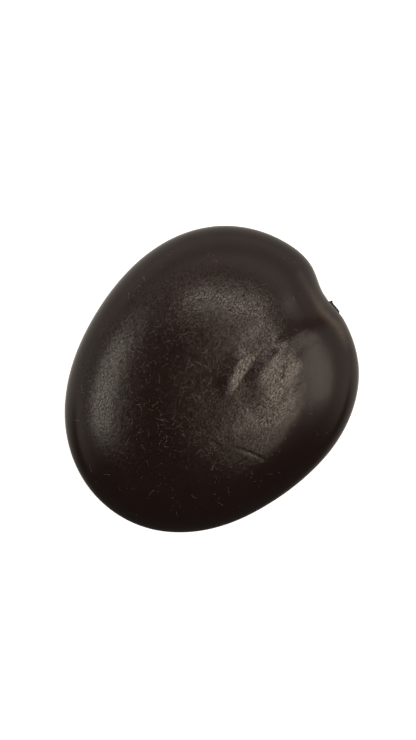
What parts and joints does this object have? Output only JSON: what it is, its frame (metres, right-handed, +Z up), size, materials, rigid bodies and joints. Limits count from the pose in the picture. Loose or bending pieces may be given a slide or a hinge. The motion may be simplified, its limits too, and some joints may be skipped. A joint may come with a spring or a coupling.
{
  "type": "sea heart seed",
  "caption": "Flat, heart-shaped drift seed with a dark wrinkled coat, a notch with a broken stalk at one end and a two-leaved kernel inside; held as a palm or massage stone.",
  "frame": {"origin": "middle of the seed's box in plan, on the surface it lies on", "axes": "+Z up out of the face that shows, +Y along the seed's length towards the end with the hilum notch, +X across its width; the notch lies to the +X side of +Y"},
  "size_m": [0.0458, 0.0539, 0.018],
  "materials": {
    "coat": "very dark reddish-brown seed coat, finely wrinkled, satin with a waxy sheen",
    "spongy_layer": "matt tan, fine open grain",
    "inner_skin": "thin buff skin, slightly silky",
    "kernel": "smooth cream, waxy",
    "embryo": "smooth ivory",
    "stalk": "near-black, torn fibres",
    "cushion": "matt brown cork",
    "strand": "brown fibre, ribbed lengthwise"
  },
  "bodies": {
    "root": {"hard_coat": "coat", "spongy_coat": "spongy_layer", "inner_skin": "inner_skin", "upper_seed_leaf": "kernel", "lower_seed_leaf": "kernel", "embryo_axis": "embryo", "plumule_bud": "embryo", "first_leaf_left": "embryo", "first_leaf_right": "embryo", "funicle_stub": "stalk", "hilum_cushion": "cushion", "raphe_strand": "strand"}
  },
  "joints": []
}
